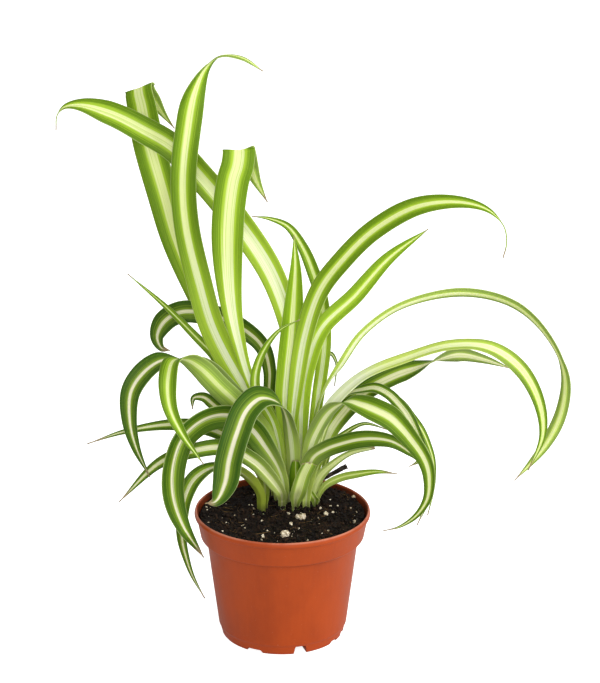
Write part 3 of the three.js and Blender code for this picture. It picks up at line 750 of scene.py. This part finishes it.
def grain_material(name, light, dark, roughness, scale):
    """A mottled grain, such as perlite or a thread of bark."""
    graph = Finish(name, roughness, specular=0.2)
    grain = graph.mottles(scale, scale, scale, detail=4, rough=0.65)
    colour = graph.coats(dark, (graph.step(grain, 0.35, 0.65), light))
    return graph.done(colour, grain, strength=0.5, distance=0.0003)


def floor_material(settings):
    """White paper that looks evenly lit to the camera."""
    graph = Finish("white floor", 0.9)
    paper = (graph.mottles(30, 30, 30), settings.bright)
    graph.put(graph.shader["Base Color"], graph.coats(settings.paper, paper))
    seen = graph.node("LightPath").outputs["Is Camera Ray"]
    graph.put(graph.shader["Emission Color"], WHITE)
    graph.put(graph.shader["Emission Strength"], graph.times(seen, FLOOR_GLOW))
    return graph.material


def mesh_data(name, mesh):
    """Turns a bmesh into mesh data."""
    data = bpy.data.meshes.new(name)
    mesh.to_mesh(data)
    mesh.free()
    return data


def new_object(name, data):
    made = bpy.data.objects.new(name, data)
    bpy.context.scene.collection.objects.link(made)
    return made


def finish_piece(name, mesh, materials, slot, *nodes, smooth=True):
    """Turns a bmesh in metres into a piece that rides on the plant and replaces those CAD nodes."""
    for face in mesh.faces:
        face.smooth = smooth
    piece = new_object(name, mesh_data(name, mesh))
    for material in materials:
        piece.data.materials.append(material)
    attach(piece, "root")
    if nodes:
        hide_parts(*nodes)
    return piece


def catmull_rom(points):
    """Points of the centripetal curve through the given ones, SPAN_STEPS to a span."""
    curve = []
    for i in range(len(points) - 1):
        start, end = points[i], points[i + 1]
        before = points[i - 1] if i else 2 * start - end
        after = points[i + 2] if i + 2 < len(points) else 2 * end - start
        spans = ((before, start), (start, end), (end, after))
        first, middle, last = (math.sqrt((b - a).length) for a, b in spans)
        chord = (end - start) / middle
        leave = ((start - before) / first - (end - before) / (first + middle) + chord) * middle
        arrive = (chord - (after - start) / (middle + last) + (after - end) / last) * middle
        for k in range(SPAN_STEPS):
            t = k / SPAN_STEPS
            curve.append(
                start + leave * t + (3 * (end - start) - 2 * leave - arrive) * t ** 2
                + (2 * (start - end) + leave + arrive) * t ** 3)
    return curve + [points[-1]]


def mixed(values, share):
    """The list's value at that share of its length."""
    place = share * (len(values) - 1)
    index = min(int(place), len(values) - 2)
    return values[index] + (values[index + 1] - values[index]) * (place - index)


def leaf_frames(leaf):
    """The stations of a blade: centre, directions across and up, distance from the root and its share."""
    x, y = leaf.root
    start = CROWN_TOP + GAP
    route = [(x, y, start), (x, y, start + SHEATH), *leaf.line]
    centres = catmull_rom([Vector(point) for point in route])
    travelled = [0]
    for here, following in zip(centres, centres[1:]):
        travelled.append(travelled[-1] + (following - here).length)
    face = Vector((0, -1, 0))
    frames = []
    for i, centre in enumerate(centres):
        along = (centres[min(i + 1, len(centres) - 1)] - centres[max(i - 1, 0)]).normalized()
        face = (face - along * face.dot(along)).normalized()
        share = travelled[i] / travelled[-1]
        up = Matrix.Rotation(math.radians(mixed(leaf.turn, share)), 3, along) @ face
        frames.append((centre, along.cross(up), up, travelled[i], share))
    return frames


def blade_width(leaf, share):
    swell = leaf.base + (1 - leaf.base) * smooth_step(share, leaf.slim, leaf.full)
    past = max(0, (share - leaf.taper) / (1 - leaf.taper))
    return max(NARROWEST, leaf.width * swell * (1 - (1 - leaf.end) * past ** leaf.tip))


def blade_section(leaf, side, half, distance, share, seed):
    """How far the blade lies above its middle, in millimetres, at one place across it."""
    fold = leaf.channel * (1 + FOLD_AT_ROOT * (1 - smooth_step(share, 0, 0.3)))
    keel = (math.sqrt(side * side + FOLD_ROUNDING) - FOLD_LEVEL) * half * fold
    edge = -EDGE_DROOP * half * side ** 4
    slow = SLOW_WAVE * side * math.sin(distance / SLOW_LENGTH + seed)
    quick = QUICK_WAVE * abs(side) * math.sin(distance / QUICK_LENGTH + 2 * seed)
    wave = (slow + quick) * half * smooth_step(share, 0.1, 0.4)
    rumple = noise.noise(Vector((side * 1.5, distance / CRUMPLE_LENGTH, seed)))
    rumple += CREASE * math.sin(distance / CREASE_LENGTH)
    return keel + edge + wave + leaf.crumple * rumple * (0.4 + share * share)


def blade_looks(leaf, side, distance, length, seed):
    """What a point's place on the blade means for its colour, in the order of LOOKS."""
    from_tip = length - distance + 2.5 * noise.noise(Vector((side * 3, seed, 0)))
    # The pale foot is partly the leaf's own colour and partly painted light on the shaded crowded base
    low = leaf.pale * (1 - smooth_step(distance, 3, leaf.pale_to))
    # The lime foot is partly painted light on the shaded lower blades too
    lush_and_painted_light = 1 - smooth_step(distance, 0.5 * leaf.lush_and_painted_light, leaf.lush_and_painted_light)
    olive = leaf.olive * (1 - smooth_step(distance, 20, 60))
    foot = 1 - smooth_step(distance, 1, 9)
    dry = 1 - smooth_step(from_tip, 0.35 * leaf.dry_tip, leaf.dry_tip + 0.01)
    return leaf.age, leaf.stripe, seed, low, lush_and_painted_light, olive, foot, dry


def blade_mesh(leaf, seed, columns):
    """A leaf blade as a grid bent along its route, with its looks on its points."""
    frames = leaf_frames(leaf)
    rows = len(frames) - 1
    foot = frames[0][0]
    length = frames[-1][3]
    blade = bmesh.new()
    uv = blade.loops.layers.uv.new("blade")
    layers = [blade.verts.layers.float.new(look) for look in LOOKS]
    bmesh.ops.create_grid(blade, x_segments=columns, y_segments=rows, size=1, calc_uvs=True)
    places = {}
    for point in blade.verts:
        side = point.co.x
        row = round((point.co.y + 1) / 2 * rows)
        centre, across, up, distance, share = frames[row]
        half = blade_width(leaf, share) / 2
        lift = blade_section(leaf, side, half, distance, share, seed)
        narrowing = 0.2 * (1 - smooth_step(share, 0.05, 0.3)) + 0.2 * leaf.crumple
        sink = Vector((0, 0, ROOT_DEPTH if row == 0 else 0)) + SETTLE * (centre - foot)
        point.co = (centre + across * side * half * (1 - narrowing) + up * lift - sink) * MM
        places[point.index] = ((side + 1) / 2, distance / PATTERN_LENGTH)
        for layer, look in zip(layers, blade_looks(leaf, side, distance, length, seed)):
            point[layer] = look
    for face in blade.faces:
        for corner in face.loops:
            corner[uv].uv = places[corner.vert.index]
    return blade


def add_blade(name, leaf, seed, materials, slot, settings):
    mesh = blade_mesh(leaf, seed, settings.columns)
    piece = finish_piece(name.replace("leaf_", "blade_"), mesh, materials, slot, name)
    shell = piece.modifiers.new("blade thickness", "SOLIDIFY")
    shell.thickness = settings.thickness
    shell.offset = 0
    shell.material_offset = len(materials) - 1


class PLANT_OT_leaves(bpy.types.Operator):
    """Bend every leaf blade along its route and give it its stripes"""

    bl_idname = "plant.leaves"
    bl_label = "Leaves"

    def execute(self, context):
        settings = context.scene.plant_leaves
        faces = [leaf_material(settings, False), leaf_material(settings, True)]
        withered = [withered_material(settings)]
        for seed, (name, leaf) in enumerate(LEAVES.items()):
            if name == "dry_leaf":
                add_blade(name, leaf, seed, withered, "dried_leaf", settings)
            else:
                add_blade(name, leaf, seed, faces, "leaf_blade", settings)
        return {"FINISHED"}


def crown_mesh(x, y, half_width, half_depth):
    """A low crown whose top is lumpy with soil and rises round the root of each leaf."""
    roots = [Vector((*leaf.root, 0)) for leaf in LEAVES.values()]
    crown = bmesh.new()
    outline = [(share, CROWN_TOP - depth) for share, depth in CROWN_OUTLINE]
    spin_outline(crown, outline, steps=64, subdivide=3)
    buried = crown.verts.layers.float.new("buried")
    for point in crown.verts:
        spot = Vector((x + point.co.x * half_width, y + point.co.y * half_depth, 0))
        near = min((spot - root).length for root in roots)
        top = smooth_step(point.co.z, CROWN_TOP - 6, CROWN_TOP - 1)
        lumps = noise.noise(spot / 2.1) * 0.7 + noise.noise(spot / 5) * 0.6
        rise = ROOT_RISE * (1 - smooth_step(near, 1, 5)) - CROWN_SINK
        point[buried] = smooth_step(near + 1.5 * noise.noise(spot / 1.5), 0.8, 2.4)
        point.co = (spot + Vector((0, 0, point.co.z + top * (lumps + rise)))) * MM
    return crown


class PLANT_OT_crowns(bpy.types.Operator):
    """Model the low crowns that the leaves grow from"""

    bl_idname = "plant.crowns"
    bl_label = "Crowns"

    def execute(self, context):
        material = crown_material(context.scene.plant_leaves, context.scene.plant_soil)
        for name, place in CROWNS.items():
            finish_piece(name + "_bases", crown_mesh(*place), [material], "leaf_base", name)
        return {"FINISHED"}


def spin_outline(mesh, outline, steps, subdivide=0, scale=1):
    """A closed solid of revolution from an outline that starts and ends on the axis."""
    points = [mesh.verts.new((radius * scale, 0, height * scale)) for radius, height in outline]
    edges = [mesh.edges.new(pair) for pair in zip(points, points[1:])]
    if subdivide:
        bmesh.ops.subdivide_edges(mesh, edges=edges, cuts=subdivide)
    bmesh.ops.spin(
        mesh, geom=mesh.verts[:] + mesh.edges[:], cent=(0, 0, 0), axis=(0, 0, 1), angle=math.tau,
        steps=steps, use_merge=True)
    bmesh.ops.remove_doubles(mesh, verts=mesh.verts, dist=TINY)
    bmesh.ops.recalc_face_normals(mesh, faces=mesh.faces)


def notch_wedges():
    """Wedges with sloping, rounded sides that cut the notches in the foot."""
    cutter = bmesh.new()
    for angle, width, height in NOTCHES:
        wedge = bmesh.ops.create_cube(cutter, size=1)["verts"]
        for point in wedge:
            top = point.co.z > 0
            outer = point.co.x > 0
            share = NOTCH_TOP_SHARE if top else NOTCH_FOOT_SHARE
            reach = NOTCH_TO if outer else NOTCH_FROM
            roof = height
            if height > TALL_NOTCH and not outer:
                reach = SLOT_FROM
                roof = SLOT_HEIGHT
            point.co = (reach, point.co.y * width * share, roof if top else -1)
        edges = {edge for point in wedge for edge in point.link_edges}
        rims = [edge for edge in edges if min(point.co.z for point in edge.verts) > 0]
        turn = Matrix.Rotation(math.radians(angle - 90), 4, "Z")
        bmesh.ops.transform(cutter, matrix=turn, verts=wedge)
        bmesh.ops.bevel(
            cutter, geom=rims, offset=min(height * 0.35, 0.6 * SLOT_HEIGHT), segments=4, profile=0.5,
            affect="EDGES", material=-1)
    bmesh.ops.scale(cutter, vec=(MM, MM, MM), verts=cutter.verts)
    return cutter


def drain_rods():
    """Rods that cut the drain holes over the notches."""
    cutter = bmesh.new()
    for angle, _, _ in NOTCHES:
        rod = bmesh.ops.create_cone(
            cutter, cap_ends=True, segments=24, radius1=DRAIN_RADIUS, radius2=DRAIN_RADIUS,
            depth=DRAIN_LENGTH)["verts"]
        bmesh.ops.translate(cutter, verts=rod, vec=(DRAIN_REACH, 0, DRAIN_LEVEL))
        bmesh.ops.rotate(cutter, verts=rod, matrix=Matrix.Rotation(math.radians(angle - 90), 3, "Z"))
    bmesh.ops.scale(cutter, vec=(MM, MM, MM), verts=cutter.verts)
    return cutter


def cut_away(piece, cutter_mesh):
    """Cuts a bmesh out of a finished piece."""
    cutter = new_object("cutter", mesh_data("cutter", cutter_mesh))
    cut = piece.modifiers.new("cut", "BOOLEAN")
    cut.operation = "DIFFERENCE"
    cut.solver = "EXACT"
    cut.object = cutter
    graph = bpy.context.evaluated_depsgraph_get()
    shaped = bpy.data.meshes.new_from_object(piece.evaluated_get(graph))
    piece.modifiers.remove(cut)
    piece.data = shaped
    bpy.data.objects.remove(cutter)


def mark_inside(piece):
    """Marks the points of the inner wall, where earth clings and where shade is painted under the lip."""
    inside = piece.data.attributes.new("inside", "FLOAT", "POINT")
    for point in piece.data.vertices:
        place = point.co / MM
        inwards = -(point.normal.x * place.x + point.normal.y * place.y) / max(place.xy.length, 1)
        under_lip = 1 - smooth_step(place.z, 88, 89.6)
        inside.data[point.index].value = smooth_step(inwards, 0.3, 0.9) * under_lip


class PLANT_OT_pot(bpy.types.Operator):
    """Turn the pot, round its edges and cut the notches in its foot"""

    bl_idname = "plant.pot"
    bl_label = "Pot"

    def execute(self, context):
        settings = context.scene.plant_pot
        pot = bmesh.new()
        spin_outline(pot, POT_OUTLINE, settings.steps, scale=MM)
        corners = [edge for edge in pot.edges if edge.is_manifold and edge.calc_face_angle() > POT_CORNER]
        rings = [edge for edge in corners if abs(edge.verts[0].co.z - edge.verts[1].co.z) < TINY]
        bmesh.ops.bevel(
            pot, geom=rings, offset=POT_ROUNDING * MM, segments=3, profile=0.5, affect="EDGES",
            material=-1, clamp_overlap=True)
        piece = finish_piece("pot_shell", pot, [plastic_material(settings)], "pot_plastic", "pot")
        for cutter in (notch_wedges(), drain_rods()):
            cut_away(piece, cutter)
        piece.data.name = piece.name
        piece.data.shade_smooth()
        piece.data.set_sharp_from_angle(angle=SHARP_EDGE)
        mark_inside(piece)
        return {"FINISHED"}


def soil_height(x, y):
    """Height of the soil: level, heaped up at the back right, banked against the wall, a little lumpy."""
    radius = math.hypot(x, y)
    towards_back = smooth_step(0.5 * x + 0.85 * y, 20, 55)
    coarse = 0.7 * math.sin(x / 3.1 + 1) * math.cos(y / 2.7)
    fine = 0.4 * math.sin(x / 1.9) * math.sin(y / 2.1 + 2)
    near_rim = 1 - smooth_step(radius, 44, 56)
    heap = SOIL_HEAP * towards_back * (0.6 + 0.4 * near_rim)
    bank = SOIL_BANK * smooth_step(radius, 46, 56) * (1 - towards_back)
    return SOIL_LEVEL + heap + bank + (coarse + fine) * (0.4 + 0.6 * near_rim)


def soil_bed():
    """The bed that fills the pot, with a rough top that is smooth where it meets the wall."""
    bed = bmesh.new()
    top = [(SOIL_EDGE * i / SOIL_RINGS, SOIL_LEVEL) for i in range(SOIL_RINGS + 1)]
    spin_outline(bed, top + SOIL_WALL, SOIL_STEPS)
    for point in bed.verts:
        if point.co.z > SOIL_LEVEL - 0.01:
            spot = point.co.copy()
            rough = noise.fractal(spot / 2.6, 0.8, 2.0, 4) * 1.1 + 0.7 * abs(noise.noise(spot / 5))
            inside = 1 - smooth_step(math.hypot(spot.x, spot.y), 53, SOIL_EDGE)
            point.co.z = soil_height(spot.x, spot.y) + rough * inside - SOIL_SINK
        point.co *= MM
    return bed


def grain_at(mesh, chance, x, y, size, flat, level=1, sink=0.25, jag=0.11):
    """An angular grain that lies on the soil, its centre at x and y in millimetres."""
    height = soil_height(x, y) + size * flat * (0.5 - sink)
    place = Matrix.Translation(Vector((x, y, height)) * MM)
    spin = Matrix.Rotation(chance.uniform(0, math.tau), 4, "Z")
    tilt = Matrix.Rotation(chance.uniform(-0.5, 0.5), 4, "X")
    shape = Matrix.Diagonal((1, chance.uniform(0.6, 1), flat, 1))
    points = bmesh.ops.create_icosphere(
        mesh, subdivisions=level, radius=size / 2 * MM, matrix=place @ (spin @ tilt) @ shape)["verts"]
    for point in points:
        push = Vector((chance.uniform(-1, 1), chance.uniform(-1, 1), chance.uniform(-1, 1)))
        point.co += push * size * jag * MM


def scattered(count, add_one, chance, batch=80):
    """One mesh of many small shapes, made a few at a time, because a small mesh is quick to work on."""
    whole = bmesh.new()
    for first in range(0, count, batch):
        part = bmesh.new()
        for number in range(first, min(first + batch, count)):
            add_one(part, number, chance)
        data = mesh_data("batch", part)
        whole.from_mesh(data)
        bpy.data.meshes.remove(data)
    return whole


def anywhere(chance, reach):
    """A place on the soil, evenly spread over that reach."""
    turn = chance.uniform(0, math.tau)
    reach *= math.sqrt(chance.random())
    return reach * math.cos(turn), reach * math.sin(turn)


def add_crumb(mesh, number, chance):
    place = anywhere(chance, CRUMB_REACH)
    size = 0.9 + 2.6 * chance.random() ** 3
    grain_at(mesh, chance, *place, size, flat=0.7)


def add_heaped_crumb(mesh, number, chance):
    """A crumb against the foot of a leaf, on the heap that hides where it leaves its crown."""
    feet = [leaf.root for leaf in LEAVES.values()]
    x, y = feet[number % len(feet)]
    turn = chance.uniform(0, math.tau)
    reach = chance.uniform(1.8, 5.5)
    place = (x + reach * math.cos(turn), y + reach * math.sin(turn))
    size = chance.uniform(1.2, 3.2)
    grain_at(mesh, chance, *place, size, flat=0.8, sink=-0.3)


def add_perlite(mesh, number, chance):
    """First the grains that have their own place, then small ones anywhere."""
    if number < len(PERLITE):
        grain_at(mesh, chance, *PERLITE[number], flat=0.6, level=2, sink=0.15, jag=0.16)
    else:
        place = anywhere(chance, PERLITE_REACH)
        size = 0.5 + 1.6 * chance.random() ** 2
        grain_at(mesh, chance, *place, size, flat=0.6, sink=0.1, jag=0.2)


def add_fibre(mesh, number, chance):
    """A bent thread with five sides that lies on the soil."""
    x, y = anywhere(chance, FIBRE_REACH)
    length = chance.uniform(3, 12)
    thickness = chance.uniform(0.25, 0.6)
    turn = chance.uniform(0, math.tau)
    bend = chance.uniform(0.3, 1.6)
    ring = bmesh.ops.create_circle(mesh, cap_ends=True, segments=5, radius=thickness / 2 * MM)["verts"]
    bmesh.ops.rotate(mesh, verts=ring, cent=(0, 0, 0), matrix=Matrix.Rotation(math.radians(90), 3, "X"))
    faces = list({face for point in ring for face in point.link_faces})
    edges = list({edge for point in ring for edge in point.link_edges})
    bmesh.ops.spin(
        mesh, geom=ring + edges + faces, cent=(length / bend * MM, 0, 0), axis=(0, 0, 1), angle=-bend,
        steps=7)

    # The thread is everything that joins the ring
    thread = set(ring)
    grown = set(ring)
    while grown:
        grown = {edge.other_vert(point) for point in grown for edge in point.link_edges} - thread
        thread |= grown
    place = Matrix.Translation(Vector((x, y, soil_height(x, y) + FIBRE_LIFT)) * MM)
    bmesh.ops.transform(mesh, matrix=place @ Matrix.Rotation(turn, 4, "Z"), verts=list(thread))


class PLANT_OT_soil(bpy.types.Operator):
    """Lay the soil bed with its crumbs, perlite and fibres"""

    bl_idname = "plant.soil"
    bl_label = "Soil"

    def execute(self, context):
        settings = context.scene.plant_soil
        chance = random.Random(settings.seed)
        peat = soil_material(settings)
        stone = grain_material("perlite", settings.perlite, settings.shaded, roughness=0.75, scale=700)
        bark = grain_material("bark fibre", settings.fibre, settings.bark, roughness=0.85, scale=600)
        finish_piece("soil_bed", soil_bed(), [peat], "potting_soil", "soil")
        loose = [
            ("soil_crumbs", settings.crumbs, add_crumb, peat, False),
            ("crumbs_round_leaves", HEAPED_CRUMBS, add_heaped_crumb, peat, True),
            ("perlite_grains", len(PERLITE) + SMALL_PERLITE, add_perlite, stone, False),
            ("bark_fibres", FIBRES, add_fibre, bark, True),
        ]
        for name, count, add_one, material, smooth in loose:
            mesh = scattered(count, add_one, chance)
            finish_piece(name, mesh, [material], "potting_soil", smooth=smooth)
        return {"FINISHED"}


def area_light(name, place, size, power):
    light = bpy.data.lights.new(name, "AREA")
    light.shape = "DISK"
    light.size = size
    light.energy = power
    lamp = new_object(name, light)
    lamp.location = place
    lamp.rotation_euler = (Vector(LIGHT_TARGET) - Vector(place)).to_track_quat("-Z", "Y").to_euler()


def lay_floor(settings):
    floor = bmesh.new()
    bmesh.ops.create_grid(floor, x_segments=1, y_segments=1, size=settings.floor)
    ground = new_object("floor", mesh_data("floor", floor))
    ground.data.materials.append(floor_material(settings))


def white_room(strength):
    """Surroundings that light the plant evenly and look pure white to the camera."""
    world = bpy.data.worlds.new("soft white room")
    world.use_nodes = True
    sky = world.node_tree.nodes["Background"].inputs
    air = Graph(world.node_tree)
    seen = air.node("LightPath").outputs["Is Camera Ray"]
    air.put(sky["Color"], WHITE)
    air.put(sky["Strength"], air.step(seen, 0, 1, first=strength, last=1))
    return world


def place_camera(lens):
    camera = bpy.data.cameras.new("camera")
    camera.lens = lens
    camera.clip_start = NEAREST_SEEN
    viewer = new_object("camera", camera)
    viewer.location = CAMERA_PLACE
    viewer.rotation_euler = (math.radians(90 - CAMERA_TILT), 0, 0)
    bpy.context.scene.camera = viewer


class PLANT_OT_stage(bpy.types.Operator):
    """Set the camera at the photograph's angle over a plain pale floor in soft light"""

    bl_idname = "plant.stage"
    bl_label = "Stage"

    def execute(self, context):
        settings = context.scene.plant_stage
        lay_floor(settings)
        context.scene.world = white_room(settings.sky)
        context.scene.view_settings.view_transform = "Standard"
        area_light("key light", KEY_PLACE, KEY_SIZE, settings.key)
        area_light("fill light", FILL_PLACE, FILL_SIZE, settings.fill)
        place_camera(settings.lens)
        return {"FINISHED"}


class PLANT_PT_sidebar(bpy.types.Panel):
    """Lists the plant's pieces and their settings"""

    bl_idname = "PLANT_PT_sidebar"
    bl_label = "Potted spider plant"
    bl_space_type = "VIEW_3D"
    bl_region_type = "UI"
    bl_category = "Plant"

    def draw(self, context):
        for maker, settings in STEPS:
            box = self.layout.box()
            box.operator(maker.bl_idname)
            if settings:
                group = getattr(context.scene, settings)
                for prop in type(group).__annotations__:
                    box.prop(group, prop)


STEPS = [
    (PLANT_OT_leaves, "plant_leaves"),
    (PLANT_OT_crowns, ""),
    (PLANT_OT_pot, "plant_pot"),
    (PLANT_OT_soil, "plant_soil"),
    (PLANT_OT_stage, "plant_stage"),
]
SETTINGS = {
    "plant_leaves": LeafSettings,
    "plant_pot": PotSettings,
    "plant_soil": SoilSettings,
    "plant_stage": StageSettings,
}


def register():
    for group in SETTINGS.values():
        bpy.utils.register_class(group)
    for maker, _ in STEPS:
        bpy.utils.register_class(maker)
    bpy.utils.register_class(PLANT_PT_sidebar)
    for name, group in SETTINGS.items():
        setattr(bpy.types.Scene, name, bpy.props.PointerProperty(type=group))


def unregister():
    for name in SETTINGS:
        delattr(bpy.types.Scene, name)
    bpy.utils.unregister_class(PLANT_PT_sidebar)
    for maker, _ in reversed(STEPS):
        bpy.utils.unregister_class(maker)
    for group in SETTINGS.values():
        bpy.utils.unregister_class(group)


def main():
    register()
    bpy.ops.plant.leaves()
    bpy.ops.plant.crowns()
    bpy.ops.plant.pot()
    bpy.ops.plant.soil()
    bpy.ops.plant.stage()


if __name__ == "__main__":
    main()
